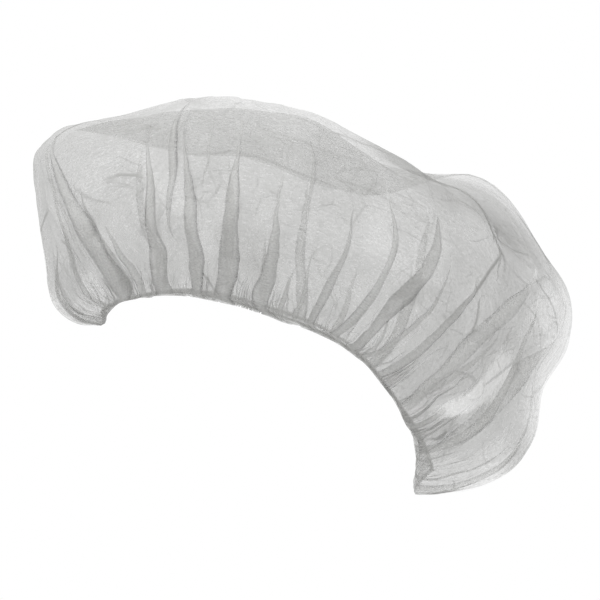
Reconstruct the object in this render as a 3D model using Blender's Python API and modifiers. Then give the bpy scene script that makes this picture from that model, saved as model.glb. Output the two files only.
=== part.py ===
"""Disposable bouffant hair cap in its worn shape: a gathered nonwoven crown, its turned hem and the elastic.

Metres, +Z up. The origin is the middle of the head opening. -X is the brow, +X the nape, -Y and +Y the ears.
"""

import math

import bmesh
import bpy
import numpy as np
from mathutils import Vector

# Head opening, measured level through the origin.
OPENING_LENGTH = 0.178
OPENING_WIDTH = 0.150
RIM_RISE = 0.046

# How far the puffed crown reaches from the middle of the opening.
BROW_REACH = 0.125
NAPE_REACH = 0.161
EAR_REACH = 0.112
CROWN_RISE = 0.156
CENTRE_SAG = 0.030
HANG = 0.013

# Cloth, hem and elastic.
WALL = 0.001
HEM_OVERLAP = 0.0012
HEM_WALL = 0.001
HEM_CLEARANCE = 0.0004
HEM_OVERRUN = 0.001
ELASTIC_DIAMETER = 0.0009
ELASTIC_CLEARANCE = 0.0003
EDGE_CLEARANCE = 0.0003

# Gathers round the hem, and how deep they stand out from the cloth.
GATHERS = 26
GATHER_HEIGHT = 0.0022
PLEAT_HEIGHT = 0.0045
DENT_DEPTH = 0.006

# Shares of the way from the hem to the middle, or to a pleat's top, where the folds rise and die out.
GATHERS_RISEN = 0.06
GATHERS_HOLD = 0.08
GATHERS_GONE = 0.38
PLEATS_RISEN = 0.12
PLEATS_HOLD = 0.55

# The dip between the ridge and the middle lies at this share of the ridge's distance.
DIP_SHARE = 0.5

# Fineness of the lofts.
COLUMNS_PER_GATHER = 4
ROWS = 21
ELASTIC_POINTS = 72
ELASTIC_ROUNDING_STEPS = 1
CURVE_STEPS = 12
SLOPE_STEP = 0.5

SECTION_COLUMNS = (
    "angle", "rim_up", "hang_out", "hang_drop", "pouch_out", "pouch_up",
    "belly_up", "shoulder_out", "shoulder_up", "ridge_out", "ridge_up", "dip_up",
)
# A row for each section, by its angle from the nape. rim_up is a share of RIM_RISE, hang_drop of HANG, and the
# other heights of CROWN_RISE. hang_out runs from the rim to the reach, the other outs from the middle to it.
SECTION_ROWS = (
    (0, -0.92, -0.10, 1.00, 0.83, -0.235, 0.255, 0.90, 0.53, 0.70, 0.755, 0.69),
    (30, -0.31, 0.10, 0.70, 0.86, -0.05, 0.29, 0.90, 0.60, 0.64, 0.76, 0.70),
    (60, 0.54, 0.14, 0.20, 0.86, 0.26, 0.45, 0.90, 0.75, 0.58, 0.86, 0.75),
    (90, 0.97, 0.14, 0.05, 0.86, 0.43, 0.59, 0.90, 0.87, 0.56, 0.99, 0.81),
    (120, 1.18, 0.16, 0.05, 0.88, 0.49, 0.63, 0.92, 0.91, 0.58, 1.00, 0.84),
    (150, 1.09, 0.20, 0.10, 0.91, 0.43, 0.71, 0.93, 0.90, 0.66, 0.955, 0.86),
    (180, 0.93, 0.04, 0.50, 0.90, 0.335, 0.76, 0.95, 0.87, 0.82, 0.912, 0.84),
    (210, 1.09, 0.20, 0.10, 0.91, 0.43, 0.71, 0.93, 0.89, 0.66, 0.945, 0.86),
    (240, 1.20, 0.16, 0.05, 0.88, 0.49, 0.63, 0.92, 0.91, 0.58, 0.99, 0.84),
    (270, 0.99, 0.14, 0.05, 0.86, 0.43, 0.59, 0.90, 0.87, 0.56, 0.98, 0.81),
    (300, 0.55, 0.14, 0.20, 0.86, 0.26, 0.45, 0.90, 0.75, 0.58, 0.85, 0.75),
    (330, -0.31, 0.10, 0.70, 0.86, -0.05, 0.29, 0.90, 0.60, 0.64, 0.75, 0.70),
)

PLEAT_COLUMNS = ("angle", "mid_angle", "top_angle", "top", "width", "height")
# A row for each long pleat. It leaves the hem at angle, bends through mid_angle halfway up, and dies out at
# top_angle and top, a share of the way to the middle. width is in degrees, and height a share of PLEAT_HEIGHT.
PLEAT_ROWS = (
    (192, 187, 186, 0.44, 7, 0.7),
    (210, 204, 196, 0.42, 7, 0.7),
    (229, 223, 200, 0.50, 8, 1.0),
    (238, 244, 243, 0.48, 7, 1.0),
    (251, 254, 251, 0.44, 6, 1.0),
    (256, 264, 264, 0.46, 6, 1.0),
    (267, 273, 274, 0.44, 6, 1.0),
    (278, 284, 288, 0.42, 7, 0.8),
    (287, 293, 295, 0.44, 7, 0.9),
    (297, 299, 303, 0.44, 7, 0.9),
    (304, 305, 316, 0.52, 7, 1.0),
    (313, 315, 327, 0.42, 8, 1.0),
    (328, 327, 346, 0.36, 9, 1.0),
    (345, 347, 350, 0.40, 9, 0.7),
    (4, 4, 3, 0.44, 9, 0.8),
    (22, 26, 22, 0.42, 9, 1.0),
    (40, 44, 36, 0.48, 8, 0.9),
    (56, 60, 56, 0.46, 8, 1.0),
    (70, 74, 72, 0.44, 7, 0.8),
    (84, 86, 86, 0.46, 7, 1.0),
    (100, 98, 97, 0.44, 7, 0.9),
    (113, 109, 110, 0.46, 7, 1.0),
    (127, 122, 124, 0.48, 7, 0.8),
    (141, 137, 142, 0.46, 8, 1.0),
    (158, 156, 160, 0.44, 8, 0.9),
    (174, 173, 172, 0.46, 7, 0.8),
)

DENT_COLUMNS = ("angle", "at", "width", "length", "depth")
# A row for each dent. at is its share of the way from the hem to the middle, width is in degrees, length is a
# share of that way, and depth is a share of DENT_DEPTH, below 0 where the cloth bulges.
DENT_ROWS = (
    (0, 0.31, 34, 0.07, 1.0),
    (350, 0.42, 30, 0.09, -0.5),
    (206, 0.66, 14, 0.10, 0.9),
    (228, 0.52, 16, 0.12, 0.7),
    (312, 0.62, 14, 0.13, 0.8),
    (48, 0.60, 16, 0.13, 0.8),
    (330, 0.44, 14, 0.15, 0.8),
    (92, 0.30, 20, 0.12, 0.8),
    (140, 0.44, 18, 0.14, 0.9),
    (172, 0.24, 20, 0.10, 0.7),
    (20, 0.62, 18, 0.10, -0.5),
    (74, 0.67, 18, 0.14, -0.8),
    (284, 0.66, 18, 0.14, -0.6),
)

CLOTH_COLOUR = (0.72, 0.72, 0.70, 1.0)
HEM_COLOUR = (0.62, 0.62, 0.60, 1.0)
ELASTIC_COLOUR = (0.80, 0.80, 0.78, 1.0)


def rows_of(names, rows):
    """The table as a dict of arrays, one for each named column."""
    return dict(zip(names, np.array(rows, float).T))


SECTIONS = rows_of(SECTION_COLUMNS, SECTION_ROWS)
PLEATS = rows_of(PLEAT_COLUMNS, PLEAT_ROWS)
DENTS = rows_of(DENT_COLUMNS, DENT_ROWS)


def smooth_step(value):
    """0 up to value 0, 1 from value 1 on, and an even curve between."""
    share = np.clip(value, 0.0, 1.0)
    return share * share * (3 - 2 * share)


def curve_between(before, start, end, after, share):
    """A point on the smooth curve from start to end, with the slopes that its neighbours give."""
    slope_in = (end - before) / 2
    slope_out = (after - start) / 2
    square = share * share
    cube = square * share
    return (
        (2 * cube - 3 * square + 1) * start
        + (cube - 2 * square + share) * slope_in
        + (3 * square - 2 * cube) * end
        + (cube - square) * slope_out
    )


def section_value(name, angle):
    """A column of the section table at any angle in degrees, read round the ring as a smooth curve."""
    column = SECTIONS[name]
    step = SECTIONS["angle"][1] - SECTIONS["angle"][0]
    at = (angle % 360) / step
    first = int(at)
    near = [column[(first + shift) % len(column)] for shift in (-1, 0, 1, 2)]
    return curve_between(*near, at - first)


def rim_point(angle):
    """The middle of the cloth's gathered edge at this angle."""
    turn = math.radians(angle)
    return np.array(
        (
            OPENING_LENGTH / 2 * math.cos(turn),
            OPENING_WIDTH / 2 * math.sin(turn),
            RIM_RISE * section_value("rim_up", angle),
        )
    )


def reach_vector(angle):
    """From the axis to the furthest that the crown stands out at this angle, level."""
    turn = math.radians(angle)
    along = NAPE_REACH if math.cos(turn) > 0 else BROW_REACH
    return np.array((along * math.cos(turn), EAR_REACH * math.sin(turn), 0.0))


def section_points(angle):
    """The points of one section, from the gathered edge over the puff to the sunken middle of the crown."""
    rim = rim_point(angle)
    reach = reach_vector(angle)
    up = np.array((0.0, 0.0, 1.0))

    def at(out, height):
        return reach * section_value(out, angle) + up * CROWN_RISE * section_value(height, angle)

    rim_level = np.array((rim[0], rim[1], 0.0))
    hang = rim_level + (reach - rim_level) * section_value("hang_out", angle)
    hang = hang + up * (rim[2] - HANG * section_value("hang_drop", angle))
    belly = reach + up * CROWN_RISE * section_value("belly_up", angle)
    dip = at("ridge_out", "dip_up") * (DIP_SHARE, DIP_SHARE, 1.0)
    centre = up * (CROWN_RISE - CENTRE_SAG)
    return [
        rim,
        hang,
        at("pouch_out", "pouch_up"),
        belly,
        at("shoulder_out", "shoulder_up"),
        at("ridge_out", "ridge_up"),
        dip,
        centre,
    ]


def section_profile(angle):
    """The section at this angle as ROWS + 1 points. The first stretch is straight, where the hem holds it."""
    points = section_points(angle)
    fine = []
    for index in range(len(points) - 1):
        before = points[max(index - 1, 0)]
        after = points[min(index + 2, len(points) - 1)]
        for share in np.linspace(0, 1, CURVE_STEPS, endpoint=False):
            fine.append(curve_between(before, points[index], points[index + 1], after, share))
    fine.append(points[-1])
    fine = np.array(fine)
    along = np.concatenate(([0.0], np.cumsum(np.linalg.norm(np.diff(fine, axis=0), axis=1))))
    wanted = np.concatenate(([0.0], np.linspace(HEM_OVERLAP + HEM_OVERRUN, along[-1], ROWS)))
    return np.stack([np.interp(wanted, along, fine[:, axis]) for axis in range(3)], axis=1)


def crown_angles():
    """The angle of each column of the crown, in degrees."""
    columns = GATHERS * COLUMNS_PER_GATHER
    return np.arange(columns) * 360 / columns


def smooth_crown():
    """The crown with no folds, as rows from the edge to the middle, with a point for each column."""
    profiles = [section_profile(angle) for angle in crown_angles()]
    return np.stack(profiles, axis=1)


def outward(surface):
    """The outward direction at each point of the surface."""
    round_it = np.roll(surface, -1, axis=1) - np.roll(surface, 1, axis=1)
    along = np.gradient(surface, axis=0)
    normal = np.cross(round_it, along)
    return normal / np.maximum(np.linalg.norm(normal, axis=2, keepdims=True), 1e-9)


def bent_angle(index, climb):
    """The angle of a pleat's ridge, from its foot at climb 0 through its middle to its top at climb 1."""
    foot = PLEATS["angle"][index]
    middle = PLEATS["mid_angle"][index]
    top = PLEATS["top_angle"][index]
    bent = foot * (1 - climb) * (1 - 2 * climb) + middle * 4 * climb * (1 - climb)
    return bent + top * climb * (2 * climb - 1)


def fold_height(share, angles):
    """How far the gathers and pleats lift each point of one row, at its share of the way to the middle."""
    gather_fade = smooth_step(share / GATHERS_RISEN)
    gather_fade *= 1 - smooth_step((share - GATHERS_HOLD) / (GATHERS_GONE - GATHERS_HOLD))
    lift = GATHER_HEIGHT * gather_fade * np.cos(np.radians(GATHERS * angles))
    for index in range(len(PLEATS["angle"])):
        top = PLEATS["top"][index]
        climb = min(share / top, 1.0)
        middle = bent_angle(index, climb)
        off = (angles - middle + 180) % 360 - 180
        across = np.clip(1 - np.abs(off) / PLEATS["width"][index], 0, 1)
        fall = smooth_step((climb - PLEATS_HOLD) / (1 - PLEATS_HOLD))
        rise = smooth_step(share / PLEATS_RISEN) * (1 - fall)
        lift = lift + PLEAT_HEIGHT * PLEATS["height"][index] * rise * smooth_step(across)
    return lift


def dent_depth(share, angles):
    """How deep the dents press each point of one row in."""
    depth = np.zeros(len(angles))
    for index in range(len(DENTS["angle"])):
        off = (angles - DENTS["angle"][index] + 180) % 360 - 180
        round_it = smooth_step(1 - np.abs(off) / DENTS["width"][index])
        along = smooth_step(1 - abs(share - DENTS["at"][index]) / DENTS["length"][index])
        depth = depth + DENT_DEPTH * DENTS["depth"][index] * round_it * along
    return depth


def crown_surface():
    """The crown's middle surface with its gathers, pleats and dents."""
    surface = smooth_crown()
    normal = outward(surface)
    angles = crown_angles()
    for row in range(1, ROWS):
        share = (row - 1) / (ROWS - 1)
        lift = fold_height(share, angles) - dent_depth(share, angles)
        surface[row] += normal[row] * lift[:, None]
    return surface


def new_material(name, colour, roughness):
    """A plain nonmetal finish."""
    material = bpy.data.materials.new(name)
    material.use_nodes = True
    shader = material.node_tree.nodes["Principled BSDF"]
    shader.inputs["Base Color"].default_value = colour
    shader.inputs["Roughness"].default_value = roughness
    shader.inputs["Metallic"].default_value = 0.0
    return material


def link(name, data, material, collection):
    """A new object in the cap's collection, with its material."""
    made = bpy.data.objects.new(name, data)
    made.data.materials.append(material)
    collection.objects.link(made)
    return made


def loft_mesh(name, rings, closed_section, pole=None):
    """A mesh through rings of points. Each ring runs round the cap, and a pole closes the last one."""
    mesh = bpy.data.meshes.new(name)
    work = bmesh.new()
    grid = [[work.verts.new(Vector(point)) for point in ring] for ring in rings]
    pairs = list(zip(grid, grid[1:]))
    if closed_section:
        pairs.append((grid[-1], grid[0]))
    for lower, upper in pairs:
        for index in range(len(lower)):
            after = (index + 1) % len(lower)
            work.faces.new((lower[index], lower[after], upper[after], upper[index]))
    if pole is not None:
        middle = work.verts.new(Vector(pole))
        for index in range(len(grid[-1])):
            after = (index + 1) % len(grid[-1])
            work.faces.new((grid[-1][index], grid[-1][after], middle))
    work.to_mesh(mesh)
    work.free()
    mesh.shade_smooth()
    return mesh


def make_crown(collection):
    """The gathered cloth, one wall thick and open at the hem."""
    surface = crown_surface()
    mesh = loft_mesh("crown", surface[:-1], closed_section=False, pole=surface[-1, 0])
    material = new_material("white_nonwoven", CLOTH_COLOUR, 0.9)
    crown = link("crown", mesh, material, collection)
    shell = crown.modifiers.new("wall", "SOLIDIFY")
    shell.thickness = WALL
    shell.offset = 0
    return crown


def hem_frames(angles):
    """At each angle: the rim point, the way the cloth leaves it, and the way across the cloth."""
    rims = np.array([rim_point(angle) for angle in angles])
    leaving, across = [], []
    for angle in angles:
        profile = section_profile(angle)
        out = profile[1] - profile[0]
        round_it = rim_point(angle + SLOPE_STEP) - rim_point(angle - SLOPE_STEP)
        out = out - round_it * np.dot(out, round_it) / np.dot(round_it, round_it)
        out = out / np.linalg.norm(out)
        side = np.cross(round_it, out)
        leaving.append(out)
        across.append(side / np.linalg.norm(side))
    return rims, np.array(leaving), np.array(across)


def make_hem(collection):
    """The turned edge: a channel round the opening that wraps the cloth's edge and the elastic."""
    half_gap = WALL / 2 + HEM_CLEARANCE
    half_width = half_gap + HEM_WALL
    floor = -(EDGE_CLEARANCE + ELASTIC_DIAMETER + ELASTIC_CLEARANCE)
    bottom = floor - HEM_WALL
    outline = (
        (-half_width, bottom), (half_width, bottom), (half_width, HEM_OVERLAP), (half_gap, HEM_OVERLAP),
        (half_gap, floor), (-half_gap, floor), (-half_gap, HEM_OVERLAP), (-half_width, HEM_OVERLAP),
    )
    rims, leaving, across = hem_frames(crown_angles())
    rings = [rims + across * side + leaving * depth for side, depth in outline]
    mesh = loft_mesh("hem", rings, closed_section=True)
    return link("hem", mesh, new_material("gathered_hem", HEM_COLOUR, 0.85), collection)


def make_elastic(collection):
    """The elastic thread that lies in the fold of the hem, all the way round the opening."""
    middle = -(EDGE_CLEARANCE + ELASTIC_DIAMETER / 2)
    rims, leaving, _ = hem_frames(np.arange(ELASTIC_POINTS) * 360 / ELASTIC_POINTS)
    curve = bpy.data.curves.new("elastic", "CURVE")
    curve.dimensions = "3D"
    curve.bevel_depth = ELASTIC_DIAMETER / 2
    curve.bevel_resolution = ELASTIC_ROUNDING_STEPS
    spline = curve.splines.new("POLY")
    spline.points.add(ELASTIC_POINTS - 1)
    for point, place in zip(spline.points, rims + leaving * middle):
        point.co = (*place, 1.0)
    spline.use_cyclic_u = True
    return link("elastic", curve, new_material("white_elastic", ELASTIC_COLOUR, 0.7), collection)


def build():
    """Clears the scene and makes the cap."""
    for old in list(bpy.data.objects):
        bpy.data.objects.remove(old)
    collection = bpy.data.collections.new("hair_cap")
    bpy.context.scene.collection.children.link(collection)
    make_crown(collection)
    make_hem(collection)
    make_elastic(collection)


build()
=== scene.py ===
"""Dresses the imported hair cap: gathered nonwoven, its puckered hem and the elastic, in soft studio light.

Metres, +Z up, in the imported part's own frame: -X is the brow, +X the nape, and the photo looks along +Y.
"""

import math

import bpy
import numpy as np
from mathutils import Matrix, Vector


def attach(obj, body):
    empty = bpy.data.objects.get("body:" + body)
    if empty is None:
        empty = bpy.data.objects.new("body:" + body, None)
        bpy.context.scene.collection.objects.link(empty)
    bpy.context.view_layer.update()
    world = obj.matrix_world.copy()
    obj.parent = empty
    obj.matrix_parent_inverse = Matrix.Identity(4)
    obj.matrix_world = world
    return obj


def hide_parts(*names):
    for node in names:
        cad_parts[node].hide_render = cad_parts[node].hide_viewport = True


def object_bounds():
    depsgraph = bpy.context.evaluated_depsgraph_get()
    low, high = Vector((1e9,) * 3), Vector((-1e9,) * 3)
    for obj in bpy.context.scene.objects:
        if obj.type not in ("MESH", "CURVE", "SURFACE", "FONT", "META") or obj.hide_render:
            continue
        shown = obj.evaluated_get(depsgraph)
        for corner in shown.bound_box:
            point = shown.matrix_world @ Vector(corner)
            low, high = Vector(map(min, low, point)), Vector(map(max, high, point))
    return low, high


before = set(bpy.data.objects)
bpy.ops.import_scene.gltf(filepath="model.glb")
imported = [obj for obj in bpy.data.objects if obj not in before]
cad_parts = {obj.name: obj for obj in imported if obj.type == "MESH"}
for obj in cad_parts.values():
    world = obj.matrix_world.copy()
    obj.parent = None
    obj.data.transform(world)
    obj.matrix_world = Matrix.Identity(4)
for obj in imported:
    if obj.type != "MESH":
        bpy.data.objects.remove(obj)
CAD_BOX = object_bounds()

# The worn form, from the same driving sizes as the part.
OPENING_LENGTH = 0.178
OPENING_WIDTH = 0.150
RIM_RISE = 0.046
BROW_REACH = 0.125
NAPE_REACH = 0.161
EAR_REACH = 0.112
CROWN_RISE = 0.156
CENTRE_SAG = 0.030
HANG = 0.013
DIP_SHARE = 0.5
PLEAT_LIFT = 0.0030
DENT_DEPTH = 0.006

# The cloth as it was cut: a disc of this radius.
DISC_RADIUS = 0.2665

SECTION_COLUMNS = (
    "angle", "rim_up", "hang_out", "hang_drop", "pouch_out", "pouch_up",
    "belly_up", "shoulder_out", "shoulder_up", "ridge_out", "ridge_up", "dip_up",
)
# A row for each section, by its angle from the nape, in the part's own shares.
SECTION_ROWS = (
    (0, -0.92, -0.10, 1.00, 0.83, -0.235, 0.255, 0.90, 0.53, 0.70, 0.755, 0.69),
    (30, -0.31, 0.10, 0.70, 0.86, -0.05, 0.29, 0.90, 0.60, 0.64, 0.76, 0.70),
    (60, 0.54, 0.14, 0.20, 0.86, 0.26, 0.45, 0.90, 0.75, 0.58, 0.86, 0.75),
    (90, 0.97, 0.14, 0.05, 0.86, 0.43, 0.59, 0.90, 0.87, 0.56, 0.99, 0.81),
    (120, 1.18, 0.16, 0.05, 0.88, 0.49, 0.63, 0.92, 0.91, 0.58, 1.00, 0.84),
    (150, 1.09, 0.20, 0.10, 0.91, 0.43, 0.71, 0.93, 0.90, 0.66, 0.955, 0.86),
    (180, 0.93, 0.04, 0.50, 0.90, 0.335, 0.76, 0.95, 0.87, 0.82, 0.912, 0.84),
    (210, 1.09, 0.20, 0.10, 0.91, 0.43, 0.71, 0.93, 0.89, 0.66, 0.945, 0.86),
    (240, 1.20, 0.16, 0.05, 0.88, 0.49, 0.63, 0.92, 0.91, 0.58, 0.99, 0.84),
    (270, 0.99, 0.14, 0.05, 0.86, 0.43, 0.59, 0.90, 0.87, 0.56, 0.98, 0.81),
    (300, 0.55, 0.14, 0.20, 0.86, 0.26, 0.45, 0.90, 0.75, 0.58, 0.85, 0.75),
    (330, -0.31, 0.10, 0.70, 0.86, -0.05, 0.29, 0.90, 0.60, 0.64, 0.75, 0.70),
)

PLEAT_COLUMNS = (
    "start", "end", "foot", "low", "middle", "high", "top",
    "foot_wide", "low_wide", "middle_wide", "high_wide", "turn", "ply",
)
# A row for each long pleat, where the cloth lies three deep. It runs from start to end, shares of the way to
# the middle, through five evenly spaced angles. The widths are in millimetres at the first four of them, and
# it runs out at the top. turn says which way it is folded over, and ply how dense it looks: 1 in full, and
# less where it is thinner.
PLEAT_ROWS = (
    # Over the brow.
    (0.00, 0.30, 188, 187, 185, 184, 184, 3.0, 2.5, 2.5, 1.5, 1, 0.4),
    (0.00, 0.22, 199, 198, 198, 200, 201, 3.0, 3.5, 3.0, 2.0, -1, 0.4),
    (0.00, 0.26, 209, 211, 215, 216, 215, 3.0, 4.0, 5.5, 3.0, 1, 0.4),
    (0.16, 0.46, 217, 212, 207, 203, 199, 0.0, 2.5, 3.5, 2.5, -1, 0.4),
    (0.00, 0.48, 221, 223, 219, 211, 201, 11.0, 15.0, 13.0, 7.0, 1, 1.0),
    (0.00, 0.24, 230, 231, 230, 227, 224, 3.0, 4.5, 3.5, 2.0, -1, 0.8),
    # Over the near ear.
    (0.00, 0.43, 237, 240, 243.5, 244, 241, 9.0, 10.5, 9.0, 4.5, -1, 1.0),
    (0.17, 0.58, 246, 247, 249, 247, 245, 0.0, 2.0, 5.5, 3.0, 1, 0.9),
    (0.00, 0.44, 250, 252, 253.5, 253, 250, 4.5, 8.5, 8.5, 5.0, 1, 1.0),
    (0.34, 0.52, 255, 257, 257, 257, 257, 0.0, 1.0, 1.3, 1.0, -1, 0.9),
    (0.00, 0.45, 255, 259.5, 262, 263.5, 264.5, 6.5, 11.0, 9.5, 6.0, 1, 1.0),
    (0.00, 0.40, 268.5, 270, 271.5, 272.5, 273.5, 7.0, 9.5, 7.0, 2.0, -1, 1.0),
    (0.00, 0.19, 275, 275, 276, 276, 277, 2.0, 2.5, 2.5, 1.5, 1, 0.9),
    (0.30, 0.50, 277, 277, 278, 279, 279, 0.0, 1.6, 2.2, 1.2, 1, 0.9),
    (0.00, 0.25, 278, 278, 279, 279, 279, 1.5, 2.0, 2.0, 1.5, -1, 0.9),
    (0.00, 0.36, 283, 282.5, 283.5, 285, 286, 4.0, 4.5, 4.5, 2.0, 1, 1.0),
    (0.00, 0.44, 290, 291, 292, 294, 293.5, 4.5, 5.5, 4.0, 3.5, -1, 1.0),
    (0.00, 0.42, 297, 296, 297, 301, 304, 4.5, 5.0, 10.0, 7.0, 1, 1.0),
    (0.00, 0.36, 301, 302, 303, 304, 306, 4.0, 3.5, 3.0, 2.0, -1, 0.9),
    # Round the back on the near side.
    (0.00, 0.34, 310, 308.5, 308.5, 310, 312, 4.5, 4.5, 4.5, 3.5, 1, 0.6),
    (0.00, 0.45, 320, 314, 314.5, 322, 335, 6.0, 8.0, 11.0, 12.0, -1, 0.1),
    (0.36, 0.56, 318, 317, 316, 315, 315, 0.0, 1.6, 2.0, 1.2, 1, 0.9),
    (0.00, 0.20, 325, 323, 321, 320.5, 320.5, 3.0, 2.5, 3.0, 1.5, 1, 0.8),
    (0.00, 0.36, 340, 331, 328, 331, 343, 6.0, 11.0, 15.0, 14.0, 1, 0.0),
    (0.00, 0.22, 347, 344, 344, 345, 347, 4.0, 5.0, 5.0, 3.0, -1, 0.1),
    (0.00, 0.40, 351, 352, 354, 355, 356, 5.0, 6.0, 6.0, 4.0, 1, 0.2),
    # The far side, nape to brow.
    (0.00, 0.30, 8, 8, 9, 10, 11, 4.0, 5.0, 5.0, 3.0, -1, 0.6),
    (0.00, 0.42, 22, 25, 27, 26, 22, 5.0, 7.0, 8.0, 5.0, 1, 0.6),
    (0.00, 0.30, 38, 41, 41, 38, 34, 4.0, 5.0, 4.0, 2.0, -1, 0.6),
    (0.00, 0.46, 52, 56, 58, 57, 54, 5.0, 7.0, 7.0, 5.0, 1, 0.6),
    (0.00, 0.24, 67, 69, 70, 71, 71, 3.0, 4.0, 3.5, 2.0, -1, 0.6),
    (0.00, 0.42, 79, 81, 83, 83, 82, 5.0, 7.0, 6.0, 4.0, 1, 0.6),
    (0.00, 0.26, 92, 92, 91, 91, 91, 3.0, 4.0, 3.0, 2.0, -1, 0.6),
    (0.00, 0.44, 104, 102, 101, 100, 101, 5.0, 6.0, 6.0, 4.0, -1, 0.6),
    (0.00, 0.30, 116, 113, 112, 112, 113, 4.0, 5.0, 4.0, 2.0, 1, 0.6),
    (0.00, 0.46, 130, 125, 124, 126, 128, 5.0, 7.0, 7.0, 5.0, -1, 0.6),
    (0.00, 0.34, 143, 139, 140, 143, 147, 4.0, 6.0, 5.0, 3.0, 1, 0.6),
    (0.00, 0.44, 158, 156, 156, 158, 162, 5.0, 6.0, 6.0, 4.0, -1, 0.6),
    (0.00, 0.26, 173, 172, 172, 172, 172, 3.0, 4.0, 3.0, 2.0, 1, 0.7),
)

PATCH_COLUMNS = ("angle", "at", "width", "length", "lean", "ply")
# A row for each soft patch that looks denser, or thinner where ply is below 0. width is in degrees, length is
# a share of the way to the middle, and lean is how many degrees it shifts over that length.
PATCH_ROWS = (
    (326, 0.28, 30, 0.34, 0, 0.12),
    (313, 0.14, 8, 0.14, 1, 0.20),
    (323, 0.36, 6, 0.14, 5, 0.25),
    (332, 0.26, 7, 0.07, 5, 0.05),
    (336, 0.39, 5, 0.05, 4, -0.35),
    (323, 0.18, 3, 0.11, 2, -0.95),
    (317, 0.38, 6, 0.09, 1, 0.10),
    (327, 0.07, 6, 0.05, -2, 0.30),
    (0, 0.35, 24, 0.16, 0, -0.45),
    (353, 0.09, 20, 0.12, 0, -0.50),
    (318, 0.56, 26, 0.13, 0, 0.60),
    (200, 0.13, 7, 0.05, 2, 0.40),
    (214, 0.10, 4, 0.05, 0, -0.25),
    (190, 0.08, 22, 0.10, 0, -0.30),
    (203, 0.31, 7, 0.14, -3, 0.20),
    (226, 0.33, 7, 0.08, 4, -0.25),
    (247, 0.40, 5, 0.07, 0, 0.30),
    (299, 0.24, 4, 0.04, 2, 0.35),
    (309, 0.30, 5, 0.10, 4, 0.15),
    (236, 0.56, 20, 0.05, 0, 0.25),
    (30, 0.24, 10, 0.10, 6, 0.25),
    (64, 0.34, 9, 0.10, -3, -0.20),
    (96, 0.20, 10, 0.08, 2, 0.25),
    (120, 0.36, 9, 0.10, 4, -0.20),
    (150, 0.22, 10, 0.09, -4, 0.25),
)

CREASE_COLUMNS = ("from_angle", "from_share", "to_angle", "to_share", "sag", "width", "ply")
# A row for each single crease that runs across the cloth, from one place to another. sag bends it, as a share
# of its length, width is in millimetres, and ply says how strong it is.
CREASE_ROWS = (
    (229, 0.345, 241, 0.345, 0.04, 1.3, 1.0),
    (183, 0.295, 204, 0.305, -0.05, 1.5, 0.9),
    (206, 0.230, 213, 0.175, 0.10, 1.4, 0.7),
    (224, 0.492, 236, 0.475, 0.10, 1.4, 1.0),
    (234, 0.490, 244, 0.455, -0.05, 1.3, 1.0),
    (227, 0.455, 239, 0.440, 0.05, 1.2, 0.7),
    (307, 0.235, 326, 0.510, 0.02, 1.3, 1.0),
    (319, 0.610, 317, 0.410, 0.05, 1.2, 0.9),
    (311, 0.340, 313, 0.220, 0.12, 1.5, 0.7),
    (322, 0.180, 327, 0.270, 0.02, 1.3, 0.8),
    (327, 0.090, 331, 0.045, 0.10, 1.5, 0.7),
    (332, 0.430, 344, 0.360, 0.08, 1.5, 0.6),
    (266, 0.505, 290, 0.480, -0.03, 1.5, 0.5),
    (283, 0.560, 300, 0.540, 0.05, 1.6, 0.6),
    (252, 0.130, 256, 0.040, 0.03, 1.2, 0.7),
    (296, 0.170, 300, 0.060, 0.05, 1.2, 0.7),
    (60, 0.420, 76, 0.440, 0.06, 1.5, 0.35),
    (98, 0.460, 116, 0.430, -0.05, 1.5, 0.35),
    (14, 0.330, 30, 0.380, 0.08, 1.6, 0.35),
    (134, 0.300, 150, 0.350, -0.06, 1.5, 0.35),
)

DENT_COLUMNS = ("angle", "at", "width", "length", "depth")
# A row for each dent of the worn form, as the part has them. width is in degrees, and length a share of the
# way to the middle. depth is a share of DENT_DEPTH, and below 0 where the cloth bulges.
DENT_ROWS = (
    (0, 0.31, 34, 0.07, 1.0),
    (350, 0.42, 30, 0.09, -0.5),
    (206, 0.66, 14, 0.10, 0.9),
    (228, 0.52, 16, 0.12, 0.7),
    (312, 0.62, 14, 0.13, 0.8),
    (48, 0.60, 16, 0.13, 0.8),
    (330, 0.44, 14, 0.15, 0.8),
    (92, 0.30, 20, 0.12, 0.8),
    (140, 0.44, 18, 0.14, 0.9),
    (172, 0.24, 20, 0.10, 0.7),
    (20, 0.62, 18, 0.10, -0.5),
    (74, 0.67, 18, 0.14, -0.8),
    (284, 0.66, 18, 0.14, -0.6),
)

# Small gathers between the pleats, all round the hem: their step and lean in degrees, their width at the foot
# in millimetres, its shares further up, and where they end, as shares of the way to the middle.
GATHER_STEP = 1.4
GATHER_JITTER = 0.40
GATHER_WIDTH = (0.7, 1.9)
GATHER_LOW = (0.6, 0.9)
GATHER_MIDDLE = (0.35, 0.7)
GATHER_HIGH = (0.2, 0.4)
GATHER_PLY = (0.5, 1.0)
GATHER_END = (0.030, 0.205)
GATHER_LEAN = 7.0
GATHER_SWAY = 0.22
GATHER_WAVES = 110.0
GATHERS_GONE = 0.21

# A pleat that reaches this share or further is a main one, and the short ones keep their place between those.
MAIN_PLEAT_END = 0.40

# How far the cloth swells between two folds, and the shares where that starts, is reached and ends.
BULGE = 0.0009
BULGE_START = 0.045
BULGE_RISE = 0.04
BULGE_END = 0.16

# How far the cloth is drawn up just past the hem, so that its puckers don't hang below the band.
HEM_LIFT = 0.0009
HEM_LIFT_RISE = 0.012
HEM_LIFT_HOLD = 0.025
HEM_LIFT_FALL = 0.05

# The folds: the gap between their layers, the cloth beside each lap, and the most degrees that they may fill.
LAYER_GAP = 0.00035
FOLD_MARGIN = 0.0003
FOLD_SPACE = 0.0002
MOST_FOLDED = 330.0

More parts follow.
